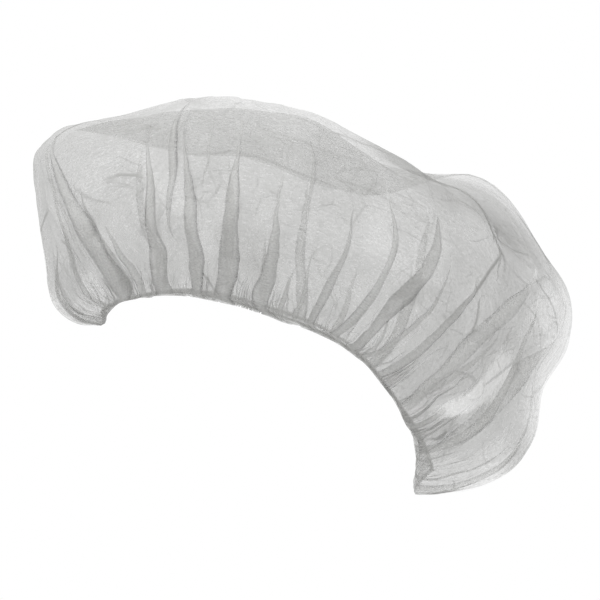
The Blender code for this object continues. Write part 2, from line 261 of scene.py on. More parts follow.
# How wide a fold's columns are spread past its ends, and the share of the way over which they spread.
OPENED = 0.0005
GATHER_OPENED = 0.0003
OPENS_OVER = 0.35

# The rows of the cloth's mesh: up to each share, the step between two rows.
ROW_STEPS = ((0.05, 0.0050), (0.21, 0.0075), (0.62, 0.0110), (0.98, 0.0200))

# The smooth grid that the form is read from, the points between two of a section's own, and half the span
# that a slope is measured over.
FORM_COLUMNS = 360
FORM_ROWS = 240
SECTION_STEPS = 24
SLOPE_SPAN = 0.004

# The rows between these shares say how much cloth lies between two columns.
MEASURED_SHARES = (0.08, 0.45)

# How unevenly the pleats run: degrees to the side, a share of their width, and waves from hem to middle.
SWAY = 0.14
UNEVEN = 0.07
SWAY_WAVES = (9.0, 21.0)

# How many degrees to each side a pleat lifts the cloth, and how far along itself.
PLEAT_SPREAD = 5.5
PLEAT_RUN = 1.15

# How near to its neighbours a short pleat and a gather may come, as shares of the way between them.
PLEAT_ROOM = 0.03
GATHER_ROOM = 0.01

# The crumple of the cloth: wavelength and height in metres, and how many waves of that kind cross each other.
# It is full from the share CRUMPLE_FULL on.
CRUMPLE_ROWS = (
    (0.075, 0.0011, 7),
    (0.034, 0.0006, 9),
    (0.015, 0.00022, 9),
)
CRUMPLE_FULL = 0.05

# The hem band, the share of the cloth that it stands up along, its flat size, how many puckers of each kind
# go round it, how much they change its thickness and height, and how far they shift from side to side.
HEM_HALF_HEIGHT = 0.0011
HEM_HALF_THICKNESS = 0.0007
HEM_DROP = 0.0008
HEM_COLUMNS = 960
HEM_SIDES = 12
HEM_UP_SHARE = 0.008
HEM_FLAT_LENGTH = 0.54
HEM_FLAT_WIDTH = 0.008
PUCKER_CYCLES = (190, 263, 341, 97)
PUCKER_THICK = 0.08
PUCKER_TALL = 0.03
PUCKER_SHIFT = 1.7

# How much opacity each layer has, and how much it gains or loses low down, in folds, between them, in
# patches, on creases, in the middle and at the hem.
CLOTH_DENSITY = 0.385
LOW_DENSER = 0.058
LOW_END = 0.40
FOLD_THINNER = 0.32
GAP_THINNER = 0.10
PATCH_DENSER = 0.50
CREASE_DENSER = 0.60
MIDDLE_THINNER = 0.21
MIDDLE_START = 0.45
MIDDLE_FADE = 0.25
HEM_THINNER = 0.10
HEM_THIN_END = 0.03
HEM_DENSITY = 0.32
HEM_DENSER = 0.12
LEAST_DENSITY = 0.03

# The finishes: single cloth; cloth that lies folded, painted much lighter, as painted light for the light
# that passes through its layers; and the hem between and on its puckers, painted lighter than the cloth, as
# painted light against the shade under the rim, and less light on the puckers, as painted shade there.
CLOTH_COLOUR = (0.62, 0.62, 0.605, 1.0)
FOLDED_PAINTED_LIGHT_COLOUR = (0.90, 0.90, 0.885, 1.0)
ELASTIC_COLOUR = (0.90, 0.90, 0.88, 1.0)
ELASTIC_SHADE_COLOUR = (0.78, 0.78, 0.76, 1.0)
# Painted light: the hem is painted lighter than the cloth, against the shade under the rim. Painted shade: it
# is painted darker on its puckers.
HEM_PAINTED_LIGHT_COLOUR = (0.84, 0.84, 0.825, 1.0)
HEM_PUCKER_PAINTED_SHADE_COLOUR = (0.76, 0.76, 0.745, 1.0)

CLOTH_ROUGHNESS = 0.85
CLOTH_SPECULAR = 0.15
ELASTIC_ROUGHNESS = 0.75

# The strength and depth of the bumps on each.
CLOTH_BUMP = (0.4, 0.0005)
ELASTIC_BUMP = (0.3, 0.0001)

# How much the web's cloudiness and its crumpled creases change its density.
WEB_SPREAD = 0.40
CREASE_DENSITY = 0.20

# How far a single crease stands out, and how far to its side the cloth knows of it.
CREASE_LIFT = 0.0006
CREASE_REACH = 0.006

# The fibres: the turn of each run of them in the cut disc, and their waves along and across a metre of it.
FIBRE_RUNS = ((0.35, 160.0), (1.45, 190.0), (2.45, 150.0), (2.0, 210.0))
FIBRES_ACROSS = 1100.0

# How strongly the fibres, the small clouds of denser web and the wide ones show.
FIBRE_SHARE = 0.5
CLOUD_SHARE = 1.5
DRIFT_SHARE = 0.7

# The nets of crumpled creases: cells along a metre, how wide their edges are, and the noise value from which
# they start to show. They bend by CREASE_WARP metres, and show in full CREASE_FADE further on.
CREASE_NETS = ((24.0, 0.016, 0.52), (52.0, 0.030, 0.56))
CREASE_WARP = 0.020
CREASE_FADE = 0.12

# The camera, at the photo's angle.
CAMERA_DISTANCE = 1.5
CAMERA_ELEVATION = 1.0
FRAME_WIDTH = 0.324
FRAME_CENTRE = (0.018, 0.0, 0.0503)
SENSOR_WIDTH = 36.0

# The studio: how bright the world is as light, and how far the floor lies below the cap and reaches.
WORLD_LIGHT = 0.44
FLOOR_DROP = 0.30
FLOOR_REACH = 6.0
FLOOR_COLOUR = (0.80, 0.80, 0.80, 1.0)
FLOOR_ROUGHNESS = 0.9
WHITE = (1.0, 1.0, 1.0, 1.0)


def columns_of(names, rows):
    """The table as a dict of arrays, one for each named column."""
    return dict(zip(names, np.array(rows, float).T))


SECTIONS = columns_of(SECTION_COLUMNS, SECTION_ROWS)


def smooth_step(value):
    """0 up to value 0, 1 from value 1 on, and an even curve between."""
    share = np.clip(value, 0.0, 1.0)
    return share * share * (3 - 2 * share)


def curve_between(before, start, end, after, share):
    """A point on the smooth curve from start to end, with the slopes that its neighbours give."""
    slope_in = (end - before) / 2
    slope_out = (after - start) / 2
    square = share * share
    cube = square * share
    return (
        (2 * cube - 3 * square + 1) * start
        + (cube - 2 * square + share) * slope_in
        + (3 * square - 2 * cube) * end
        + (cube - square) * slope_out
    )


# The worn form

def section_value(name, angle):
    """A column of the section table at any angle in degrees."""
    column = SECTIONS[name]
    at = (angle % 360) / (SECTIONS["angle"][1] - SECTIONS["angle"][0])
    first = int(at)
    near = [column[(first + shift) % len(column)] for shift in (-1, 0, 1, 2)]
    return curve_between(*near, at - first)


def section_points(angle):
    """The points of one section, from the hem over the puff to the sunken middle."""
    turn = math.radians(angle)
    up = np.array((0.0, 0.0, 1.0))
    rim = np.array((OPENING_LENGTH / 2 * math.cos(turn), OPENING_WIDTH / 2 * math.sin(turn), 0.0))
    along = NAPE_REACH if math.cos(turn) > 0 else BROW_REACH
    reach = np.array((along * math.cos(turn), EAR_REACH * math.sin(turn), 0.0))

    def at(out, height):
        return reach * section_value(out, angle) + up * CROWN_RISE * section_value(height, angle)

    rim_height = RIM_RISE * section_value("rim_up", angle)
    hang = rim + (reach - rim) * section_value("hang_out", angle)
    hang = hang + up * (rim_height - HANG * section_value("hang_drop", angle))
    belly = reach + up * CROWN_RISE * section_value("belly_up", angle)
    dip = at("ridge_out", "dip_up") * (DIP_SHARE, DIP_SHARE, 1.0)
    middle = up * (CROWN_RISE - CENTRE_SAG)
    return [
        rim + up * rim_height,
        hang,
        at("pouch_out", "pouch_up"),
        belly,
        at("shoulder_out", "shoulder_up"),
        at("ridge_out", "ridge_up"),
        dip,
        middle,
    ]


def section_curve(angle):
    """The section at this angle as evenly spaced points."""
    points = section_points(angle)
    fine = []
    for index in range(len(points) - 1):
        before = points[max(index - 1, 0)]
        after = points[min(index + 2, len(points) - 1)]
        for share in np.linspace(0, 1, SECTION_STEPS, endpoint=False):
            fine.append(curve_between(before, points[index], points[index + 1], after, share))
    fine.append(points[-1])
    fine = np.array(fine)
    along = np.concatenate(([0.0], np.cumsum(np.linalg.norm(np.diff(fine, axis=0), axis=1))))
    wanted = np.linspace(0, along[-1], FORM_ROWS + 1)
    return np.stack([np.interp(wanted, along, fine[:, axis]) for axis in range(3)], axis=1)


def worn_form():
    """The smooth worn surface and its outward directions, on an even grid of angle and share."""
    points = np.stack([section_curve(index * 360 / FORM_COLUMNS) for index in range(FORM_COLUMNS)], axis=1)
    round_it = np.roll(points, -1, axis=1) - np.roll(points, 1, axis=1)
    normal = np.cross(round_it, np.gradient(points, axis=0))
    normal /= np.maximum(np.linalg.norm(normal, axis=2, keepdims=True), 1e-9)
    normal[-1] = (0.0, 0.0, 1.0)
    angles = np.arange(FORM_COLUMNS) * 360 / FORM_COLUMNS
    shares = np.arange(FORM_ROWS + 1) / FORM_ROWS
    depth = np.zeros(points.shape[:2])
    for row in DENT_ROWS:
        dent = dict(zip(DENT_COLUMNS, row))
        off = (angles - dent["angle"] + 180) % 360 - 180
        round_share = smooth_step(1 - np.abs(off) / dent["width"])
        along_share = smooth_step(1 - np.abs(shares - dent["at"]) / dent["length"])
        depth += DENT_DEPTH * dent["depth"] * along_share[:, None] * round_share[None, :]
    return points - normal * depth[:, :, None], normal


FORM, FORM_NORMAL = worn_form()


def form_at(field, angle, share):
    """A field of the worn form at arrays of angles and shares."""
    column = (angle % 360) * FORM_COLUMNS / 360
    row = np.clip(share, 0, 1) * FORM_ROWS
    left = np.floor(column).astype(int)
    low = np.minimum(np.floor(row).astype(int), FORM_ROWS - 1)
    across = (column - left)[..., None]
    up = (row - low)[..., None]
    left %= FORM_COLUMNS
    right = (left + 1) % FORM_COLUMNS
    lower = field[low, left] * (1 - across) + field[low, right] * across
    upper = field[low + 1, left] * (1 - across) + field[low + 1, right] * across
    return lower * (1 - up) + upper * up


# The folds

def row_shares():
    """The share of the way to the middle of each row of the cloth, closest at the hem."""
    shares = [0.0]
    for end, step in ROW_STEPS:
        while shares[-1] < end:
            shares.append(shares[-1] + step)
    return np.array(shares)


def fold_list():
    """Every fold by its foot's angle: the long pleats, and small gathers between them."""
    random = np.random.default_rng(7)
    pleats = [dict(zip(PLEAT_COLUMNS, row)) for row in PLEAT_ROWS]
    pleats.sort(key=lambda pleat: pleat["foot"])
    folds = []
    for index, pleat in enumerate(pleats):
        pleat["sway"] = random.uniform(0, 2 * math.pi, len(SWAY_WAVES))
        gap = (pleats[(index + 1) % len(pleats)]["foot"] - pleat["foot"]) % 360
        folds.append(dict(pleat, pleat=index, along=0.0))
        count = max(int(round(gap / GATHER_STEP)) - 1, 0)
        for place in range(count):
            width = random.uniform(*GATHER_WIDTH)
            folds.append({
                "pleat": index,
                "along": (place + 1 + random.uniform(-GATHER_JITTER, GATHER_JITTER)) / (count + 1),
                "lean": random.uniform(-GATHER_LEAN, GATHER_LEAN) / (count + 1),
                "wave": random.uniform(0, 2 * math.pi),
                "spacing": 1 / (count + 1),
                "start": 0.0,
                "end": GATHER_END[0] + (GATHER_END[1] - GATHER_END[0]) * random.uniform() ** 2.0,
                "foot_wide": width,
                "low_wide": width * random.uniform(*GATHER_LOW),
                "middle_wide": width * random.uniform(*GATHER_MIDDLE),
                "high_wide": width * random.uniform(*GATHER_HIGH),
                "turn": random.choice((-1, 1)),
                "ply": random.uniform(*GATHER_PLY),
            })
    return pleats, folds


def fold_climb(fold, shares):
    """How far each row is along a fold, 0 at its start and 1 at its end."""
    return (shares - fold["start"]) / (fold["end"] - fold["start"])


def pleat_path(pleat, shares):
    """The angle of a long pleat at each row. Past its ends it keeps its last angle."""
    first = pleat["foot"]
    turns = [(pleat[name] - first + 180) % 360 - 180 for name in ("foot", "low", "middle", "high", "top")]
    knots = [turns[0]] + turns + [turns[-1]]
    climb = np.clip(fold_climb(pleat, shares), 0, 1) * 4
    step = np.minimum(climb.astype(int), 3)
    near = [np.array(knots)[step + shift] for shift in range(4)]
    path = first + curve_between(*near, climb - step)
    for wave, phase in zip(SWAY_WAVES, pleat["sway"]):
        path = path + SWAY * math.sqrt(SWAY_WAVES[0] / wave) * np.sin(shares * wave * 2 * math.pi / 3 + phase)
    return path


def ordered_paths(pleats, shares):
    """Each pleat's angle at each row. Past its ends, a short one keeps its place between the main ones."""
    paths = [pleat_path(pleat, shares) for pleat in pleats]
    mains = [
        index for index, pleat in enumerate(pleats)
        if pleat["start"] == 0 and pleat["end"] >= MAIN_PLEAT_END
    ]
    for index, pleat in enumerate(pleats):
        if index in mains:
            continue
        before = max((main for main in mains if main < index), default=mains[-1])
        after = min((main for main in mains if main > index), default=mains[0])
        step = (paths[after] - paths[before]) % 360
        place = ((paths[index] - paths[before] + 180) % 360 - 180) / step
        climb = fold_climb(pleat, shares)
        inside = np.flatnonzero((climb >= 0) & (climb <= 1))
        held = place[np.clip(np.arange(len(shares)), inside[0], inside[-1])]
        turn = 360 if index < mains[0] else 0
        paths[index] = paths[before] + step * np.clip(held, PLEAT_ROOM, 1 - PLEAT_ROOM) - turn
    return paths


def fold_width(fold, shares):
    """How far a fold laps over itself at each row, in metres. Below 0 it is open, and the cloth lies flat."""
    climb = fold_climb(fold, shares)
    widths = [fold[name] for name in ("foot_wide", "low_wide", "middle_wide", "high_wide")] + [0.0]
    lap = np.interp(climb, np.linspace(0, 1, len(widths)), widths) * 0.001
    if fold["along"] == 0:
        lap = lap * (1 + UNEVEN * np.sin(shares * SWAY_WAVES[1] * 2 + fold["sway"][1]))
    outside = np.clip(np.maximum(climb - 1, -climb) * (fold["end"] - fold["start"]) / OPENS_OVER, 0, 1)
    opened = OPENED * (max(widths) + widths[2]) if fold["along"] == 0 else GATHER_OPENED
    return np.where((climb >= 0) & (climb < 1), lap, 0.0) - outside * opened


def form_step(angles, shares):
    """How many metres of the worn form one degree spans."""
    rows = np.broadcast_to(shares, np.shape(angles))
    lengths = form_at(FORM, angles + 0.5, rows) - form_at(FORM, angles - 0.5, rows)
    return np.linalg.norm(lengths, axis=-1) + 1e-5


def gather_place(fold, shares):
    """Where a gather lies between its long pleats at each row, as a share of the free way."""
    sway = GATHER_SWAY * fold["spacing"] * np.sin(shares * GATHER_WAVES + fold["wave"])
    return np.clip(fold["along"] + fold["lean"] * shares + sway, GATHER_ROOM, 1 - GATHER_ROOM)


def fold_places(shares):
    """Each fold, and its angle, lap and margin in degrees at each row, kept clear of the folds beside it."""
    pleats, folds = fold_list()
    paths = ordered_paths(pleats, shares)
    halves = []
    for pleat, path in zip(pleats, paths):
        halves.append(np.abs(fold_width(dict(pleat, along=0), shares)) / 2 / form_step(path, shares))
    angles = []
    for fold in folds:
        here = fold["pleat"]
        after = (here + 1) % len(pleats)
        if fold["along"] == 0:
            angles.append(paths[here])
            continue
        step = (paths[after] - paths[here] + 180) % 360 - 180
        free = np.maximum(step - halves[here] - halves[after], 0)
        angles.append(paths[here] + halves[here] + free * gather_place(fold, shares))
    angles = np.array(angles)
    per_degree = form_step(angles, shares)
    laps = np.array([fold_width(fold, shares) for fold in folds]) / per_degree
    margins = FOLD_MARGIN / per_degree
    room = np.abs(laps) + 2 * margins + FOLD_SPACE / per_degree
    fit = np.minimum(1.0, MOST_FOLDED / room.sum(axis=0))
    room = (room + np.roll(room, 1, axis=0)) / 2 * fit
    stacked = np.cumsum(room, axis=0)
    free = angles - stacked
    turn = 360 - room.sum(axis=0)
    free = np.concatenate([free - turn, free, free + turn])
    pushed_on = np.maximum.accumulate(free, axis=0)
    pushed_back = np.minimum.accumulate(free[::-1], axis=0)[::-1]
    kept = slice(len(folds), 2 * len(folds))
    return zip(folds, (pushed_on[kept] + pushed_back[kept]) / 2 + stacked, laps * fit, margins * fit)


def cloth_keys(shares):
    """The cloth's key columns, four for each fold.

    Each has its angle, offset, how folded and how much thinner it is at each row, the columns from it to the
    next key, and whether its fold is a long one.
    """
    keys = []
    for fold, path, lap, margin in fold_places(shares):
        closed = np.maximum(lap, 0)
        stack = fold["turn"] * LAYER_GAP * smooth_step(closed / (2 * margin))
        folded = smooth_step(closed / margin)
        thin = folded * (1 - fold["ply"]) * FOLD_THINNER
        flat = 0 * lap
        long_fold = fold["along"] == 0
        outer, inner, last = (2, 4, 3) if long_fold else (1, 1, 2)
        keys.append((path - abs(lap) / 2 - margin, stack, flat, flat, outer, long_fold))
        keys.append((path + lap / 2, stack, folded, thin, inner, long_fold))
        keys.append((path - lap / 2, -stack, folded, thin, outer, long_fold))
        keys.append((path + abs(lap) / 2 + margin, -stack, flat, flat, last, long_fold))
    return keys


def cloth_grid(shares):
    """Each point's angle, offset, fold depth and thinness by rows, and the columns that go on to the top."""
    keys = cloth_keys(shares)
    columns = []
    going_on = []
    for index, key in enumerate(keys):
        after = keys[(index + 1) % len(keys)]
        lap_round = 360 if index == len(keys) - 1 else 0
        between_folds = index % 4 == 3
        for step in range(key[4]):
            part = step / key[4]
            angle = key[0] + (after[0] + lap_round - key[0]) * part
            offset, folded, thin = (key[field] + (after[field] - key[field]) * part for field in (1, 2, 3))
            if between_folds:
                swell = math.sin(math.pi * part) * (1 - smooth_step(shares / BULGE_END))
                offset = offset + BULGE * swell * smooth_step((shares - BULGE_START) / BULGE_RISE)
                thin = thin + GAP_THINNER * swell
            columns.append((angle, offset, folded, thin))
            going_on.append(key[5] or (between_folds and step == 1))
    fields = [np.array(field).T for field in zip(*columns)]
    return *fields, np.flatnonzero(going_on)


def crumple(disc):
    """Small random creases of the thin cloth, in metres, from its place in the cut disc."""
    random = np.random.default_rng(23)
    height = np.zeros(disc.shape[:2])
    for wavelength, strength, count in CRUMPLE_ROWS:
        for _ in range(count):
            turn = random.uniform(0, 2 * math.pi)
            phase = random.uniform(0, 2 * math.pi)
            bend = random.uniform(0.4, 1.1)
            side = (-math.sin(turn), math.cos(turn))
            along = disc[..., 0] * math.cos(turn) + disc[..., 1] * math.sin(turn)
            across = disc[..., 0] * side[0] + disc[..., 1] * side[1]
            wave = along / wavelength * math.pi + phase + bend * np.sin(across / wavelength * 1.3 + phase * 2)
            fade_across = np.sin(across / wavelength * 0.8 + phase * 3)
            fade_along = np.sin(along / wavelength * 0.5 + phase)
            mask = 0.5 + 0.5 * fade_across * fade_along
            height += strength / math.sqrt(count) * (np.abs(np.sin(wave)) - 0.64) * mask * 2
    return height


def material_turns(angles, offsets, shares):
    """The turn of each column in the cut disc, from how much cloth lies between the columns."""
    rows = np.repeat(shares[:, None], angles.shape[1], axis=1)
    place = form_at(FORM, angles, rows)
    steps = np.linalg.norm(np.roll(place, -1, axis=1) - place, axis=2)
    steps += np.abs(np.roll(offsets, -1, axis=1) - offsets)
    wide = (shares > MEASURED_SHARES[0]) & (shares < MEASURED_SHARES[1])
    cloth = steps[wide].mean(axis=0)
    return np.concatenate(([0.0], np.cumsum(cloth)[:-1])) / cloth.sum() * 2 * math.pi


def pleat_rise(angles, shares):
    """How far the long pleats stand out from the cloth."""
    lift = np.zeros_like(angles)
    pleats, _ = fold_list()
    for pleat, path in zip(pleats, ordered_paths(pleats, shares)):
        off = (angles - path[:, None] + 180) % 360 - 180
        climb = np.clip(fold_climb(pleat, shares) / PLEAT_RUN, 0, 1)
        rise = smooth_step(climb * 4) * (1 - smooth_step((climb - 0.5) / 0.5))
        lift += PLEAT_LIFT * rise[:, None] * smooth_step(1 - np.abs(off) / PLEAT_SPREAD)
    return lift


def soft_patches(angles, rows):
    """Soft patches of denser and thinner cloth."""
    dense = np.zeros_like(angles)
    for row in PATCH_ROWS:
        patch = dict(zip(PATCH_COLUMNS, row))
        climb = (rows - patch["at"]) / patch["length"]
        off = (angles - patch["angle"] - patch["lean"] * climb + 180) % 360 - 180
        along = smooth_step(2 - 2 * np.abs(climb))
        across = smooth_step(2 - 2 * np.abs(off) / patch["width"])
        dense += patch["ply"] * along * across
    return dense


def cross_creases(angles, rows):
    """How strong the nearest single crease is at each point, and how far off its line, in its own widths."""
    strong = np.zeros_like(angles)
    off_line = np.ones_like(angles)
    degree = form_step(angles, rows)
    above = form_at(FORM, angles, rows + SLOPE_SPAN)
    below = form_at(FORM, angles, rows - SLOPE_SPAN)
    rise = np.linalg.norm(above - below, axis=-1) / (2 * SLOPE_SPAN)
    for row in CREASE_ROWS:
        crease = dict(zip(CREASE_COLUMNS, row))
        span = (crease["to_angle"] - crease["from_angle"] + 180) % 360 - 180
        off = (angles - crease["from_angle"] + 180) % 360 - 180
        along = np.array((span * degree, (crease["to_share"] - crease["from_share"]) * rise))
        here = np.array((off * degree, (rows - crease["from_share"]) * rise))
        length = np.linalg.norm(along, axis=0)
        part = (along * here).sum(axis=0) / length ** 2
        across = (along[0] * here[1] - along[1] * here[0]) / length
        across -= crease["sag"] * length * np.sin(np.clip(part, 0, 1) * math.pi)
        narrow = smooth_step(np.minimum(part, 1 - part) * 5)
        here_strong = crease["ply"] * narrow * smooth_step(2 - 2 * np.abs(across) / CREASE_REACH)
        nearest = here_strong > strong
        strong = np.where(nearest, here_strong, strong)
        off_line = np.where(nearest, across / (crease["width"] * 0.001), off_line)
    return strong, off_line


def sheet_mesh(name, points, quads, flat, looks):
    """A mesh with its place in the cut disc as UVs, and its looks as named attributes."""
    mesh = bpy.data.meshes.new(name)
    mesh.from_pydata(points.tolist(), [], quads)
    layer = mesh.uv_layers.new(name="cut_disc")
    corners = np.zeros(len(mesh.loops), dtype=np.int32)
    mesh.loops.foreach_get("vertex_index", corners)
    layer.data.foreach_set("uv", flat[corners].ravel())
    for look, values in looks.items():
        mesh.attributes.new(look, "FLOAT", "POINT").data.foreach_set("value", values.astype(np.float32))
    mesh.shade_smooth()
    return mesh


def ring_faces(lower, upper):
    """Quads between two rows of as many points."""
    return np.stack([lower, np.roll(lower, -1), np.roll(upper, -1), upper], axis=-1).tolist()


def cloth_faces(wide, switch, count, going_on):
    """Faces from the hem to the middle. At the switch, only some of the columns go on."""
    low = np.arange(switch * wide).reshape(switch, wide)
    high = switch * wide + np.arange((count - switch) * len(going_on)).reshape(count - switch, len(going_on))
    faces = []
    for row in range(switch - 1):
        faces += ring_faces(low[row], low[row + 1])
    for index, column in enumerate(going_on):
        after = (index + 1) % len(going_on)
        span = (going_on[after] - column) % wide
        edge = low[-1][(column + np.arange(span + 1)) % wide].tolist()
        faces += [[high[0][index].item(), *pair] for pair in zip(edge[:-1], edge[1:])]
        faces.append([high[0][index].item(), edge[-1], high[0][after].item()])
    for row in range(len(high) - 1):
        faces += ring_faces(high[row], high[row + 1])
    middle = high[-1][-1].item() + 1
    last = high[-1].tolist()
    faces += [[first, second, middle] for first, second in zip(last, last[1:] + last[:1])]
    return faces


def at_columns(field, switch, going_on):
    """The field at each column below the switch, at the ones that go on above it, and at the middle."""
    wide = field.reshape(*field.shape[:2], -1)
    size = wide.shape[-1]
    low = wide[:switch].reshape(-1, size)
    high = wide[switch:, going_on].reshape(-1, size)
    return np.vstack([low, high, wide[-1].mean(axis=0)])


def cloth_density(angles, rows, thin):
    """How much denser or thinner each point is than plain cloth."""
    denser = PATCH_DENSER * soft_patches(angles, rows) + LOW_DENSER * (1 - smooth_step(rows / LOW_END)) - thin
    middle = MIDDLE_THINNER * smooth_step((rows - MIDDLE_START) / MIDDLE_FADE)
    edge = HEM_THINNER * (1 - smooth_step(rows / HEM_THIN_END))
    return denser - (middle + edge)


def cloth_place(angles, rows, lift):
    """Where each point lies: on the worn form, lifted off it, and drawn up just past the hem."""
    place = form_at(FORM, angles, rows) + form_at(FORM_NORMAL, angles, rows) * lift[..., None]
    fall = smooth_step((rows - HEM_LIFT_HOLD) / HEM_LIFT_FALL)
    place[..., 2] += HEM_LIFT * smooth_step(rows / HEM_LIFT_RISE) * (1 - fall)
    return place


def add_object(name, data):
    """A new object in the scene."""
    made = bpy.data.objects.new(name, data)
    bpy.context.scene.collection.objects.link(made)
    return made


def make_cloth():
    """The crown as one thin sheet, folded into its hem."""
    shares = row_shares()
    angles, offsets, folded, thin, going_on = cloth_grid(shares)
    rows = np.repeat(shares[:, None], angles.shape[1], axis=1)
    turns = material_turns(angles, offsets, shares)
    disc = np.stack([np.cos(turns), np.sin(turns)], axis=-1) * DISC_RADIUS * (1 - rows)[..., None]
    crease, off_line = cross_creases(angles, rows)
    lift = offsets + pleat_rise(angles, shares) + crumple(disc) * smooth_step(rows / CRUMPLE_FULL)
    lift += CREASE_LIFT * crease * smooth_step(1 - np.abs(off_line) / 2)
    switch = int(np.argmax(shares >= GATHERS_GONE))
    points = at_columns(cloth_place(angles, rows, lift), switch, going_on)
    points[-1] = form_at(FORM, np.array([0.0]), np.array([1.0]))
    looks = {
        "folded": folded,
        "denser": cloth_density(angles, rows, thin),
        "crease": crease,
        "off_crease": off_line,
    }
    looks = {look: at_columns(values, switch, going_on).ravel() for look, values in looks.items()}
    faces = cloth_faces(rows.shape[1], switch, len(shares), going_on)
    mesh = sheet_mesh("crown_cloth", points, faces, at_columns(disc, switch, going_on), looks)
    return add_object("crown_cloth", mesh)


def make_hem():
    """The turned edge: a narrow puckered band round the opening."""
    random = np.random.default_rng(5)
    angles = np.arange(HEM_COLUMNS) * 360 / HEM_COLUMNS
    rim = form_at(FORM, angles, np.zeros(HEM_COLUMNS))
    up = form_at(FORM, angles, np.full(HEM_COLUMNS, HEM_UP_SHARE)) - rim
    round_it = np.roll(rim, -1, axis=0) - np.roll(rim, 1, axis=0)
    round_it /= np.linalg.norm(round_it, axis=1, keepdims=True)
    up -= round_it * np.sum(up * round_it, axis=1, keepdims=True)
    up /= np.linalg.norm(up, axis=1, keepdims=True)
    side = np.cross(round_it, up)
    pucker = np.zeros(HEM_COLUMNS)
    for cycles in PUCKER_CYCLES:
        pucker += np.sin(np.radians(angles) * cycles + random.uniform(0, 6.28)) * random.uniform(0.5, 1.0)
    pucker /= 3.0
    rings = []
    for index in range(HEM_SIDES):
        turn = 2 * math.pi * index / HEM_SIDES
        shift = np.roll(pucker, int(index * PUCKER_SHIFT))
        thick = HEM_HALF_THICKNESS * (1 + PUCKER_THICK * shift) * math.cos(turn)
        tall = HEM_HALF_HEIGHT * (1 + PUCKER_TALL * shift) * math.sin(turn) - HEM_DROP
        rings.append(rim + side * thick[:, None] + up * tall[:, None])
    points = np.stack(rings, axis=0)
    index = np.arange(HEM_SIDES * HEM_COLUMNS).reshape(HEM_SIDES, HEM_COLUMNS)
    next_ring = np.roll(index, -1, axis=0)
    quads = np.stack([index, np.roll(index, -1, axis=1), np.roll(next_ring, -1, axis=1), next_ring], axis=-1)
    along = np.repeat(angles[None, :] / 360 * HEM_FLAT_LENGTH, HEM_SIDES, axis=0)
    around = np.repeat(np.arange(HEM_SIDES)[:, None] / HEM_SIDES * HEM_FLAT_WIDTH, HEM_COLUMNS, axis=1)
    flat = np.stack([along, around], axis=-1).reshape(-1, 2)
    puckers = np.clip(0.5 + 0.5 * np.repeat(pucker[None, :], HEM_SIDES, axis=0), 0, 1).ravel()
    # The puckers are denser, and their colour is painted darker: painted shade in the puckers.
    looks = {"folded": puckers, "denser": HEM_DENSER * puckers}
    mesh = sheet_mesh("hem_band", points.reshape(-1, 3), quads.reshape(-1, 4).tolist(), flat, looks)
    return add_object("hem_band", mesh)


# Materials

def add_node(tree, kind, **inputs):
    """A node with its inputs set by name."""
    node = tree.nodes.new(kind)
    for name, value in inputs.items():
        node.inputs[name].default_value = value
    return node


def math_node(tree, operation, first, second):
    """A math node from two sockets or numbers."""
    node = tree.nodes.new("ShaderNodeMath")
    node.operation = operation
    for index, value in enumerate((first, second)):
        if isinstance(value, (int, float)):
            node.inputs[index].default_value = value
        else:
            tree.links.new(value, node.inputs[index])
    return node.outputs[0]


def noise_at(tree, place, **inputs):
    """A noise texture read at a place."""
    noise = add_node(tree, "ShaderNodeTexNoise", **inputs)
    tree.links.new(place, noise.inputs["Vector"])
    return noise.outputs


def centred(tree, socket, share=1.0):
    """A share of a noise value, moved to lie round 0."""
    return math_node(tree, "MULTIPLY", math_node(tree, "SUBTRACT", socket, 0.5), share)


def smooth_range(tree, value, start, end, low, high):
    """A value taken smoothly from low at start to high at end."""
    node = tree.nodes.new("ShaderNodeMapRange")
    node.interpolation_type = "SMOOTHSTEP"
    for name, setting in (("From Min", start), ("From Max", end), ("To Min", low), ("To Max", high)):
        node.inputs[name].default_value = setting
    tree.links.new(value, node.inputs["Value"])
    return node.outputs[0]


def attribute(tree, name):
    """The value of one of the cloth's own attributes."""
    node = tree.nodes.new("ShaderNodeAttribute")
    node.attribute_name = name
    return node.outputs["Fac"]


def new_group(name, outputs):
    """A node group that takes a place in the cut disc: itself, that place, and the node for its outputs."""
    group = bpy.data.node_groups.new(name, "ShaderNodeTree")
    group.interface.new_socket("Place", in_out="INPUT", socket_type="NodeSocketVector")
    for output in outputs:
        group.interface.new_socket(output, in_out="OUTPUT", socket_type="NodeSocketFloat")
    entry = group.nodes.new("NodeGroupInput")
    return group, entry.outputs["Place"], group.nodes.new("NodeGroupOutput")


def use_group(tree, group, place):
    """What a node group gives at a place."""
    node = tree.nodes.new("ShaderNodeGroup")
    node.node_tree = group
    tree.links.new(place, node.inputs["Place"])
    return node.outputs


def fibre_group():
    """Spunbond fibres: how dense the web is, and how high, from its place in the cut disc."""
    group, place, leave = new_group("spunbond_fibres", ("Density", "Height"))
    fibres = None
    for turn, waves in FIBRE_RUNS:
        scale = (waves, FIBRES_ACROSS, 1.0)
        spin = add_node(group, "ShaderNodeMapping", Rotation=(0.0, 0.0, turn), Scale=scale)
        group.links.new(place, spin.inputs["Vector"])
        noise = noise_at(group, spin.outputs[0], Scale=1.0, Detail=2.0, Roughness=0.6, Distortion=0.6)
        strand = centred(group, noise["Fac"])
        fibres = strand if fibres is None else math_node(group, "ADD", fibres, strand)
    cloud = noise_at(group, place, Scale=700.0, Detail=3.0, Roughness=0.6)["Fac"]
    drift = noise_at(group, place, Scale=34.0, Detail=2.0, Roughness=0.5)["Fac"]
    clouds = centred(group, cloud, CLOUD_SHARE)
    drifts = centred(group, drift, DRIFT_SHARE)
    strands = math_node(group, "MULTIPLY", fibres, FIBRE_SHARE)
    density = math_node(group, "ADD", math_node(group, "ADD", strands, clouds), drifts)
    group.links.new(density, leave.inputs["Density"])
    group.links.new(strands, leave.inputs["Height"])
    return group


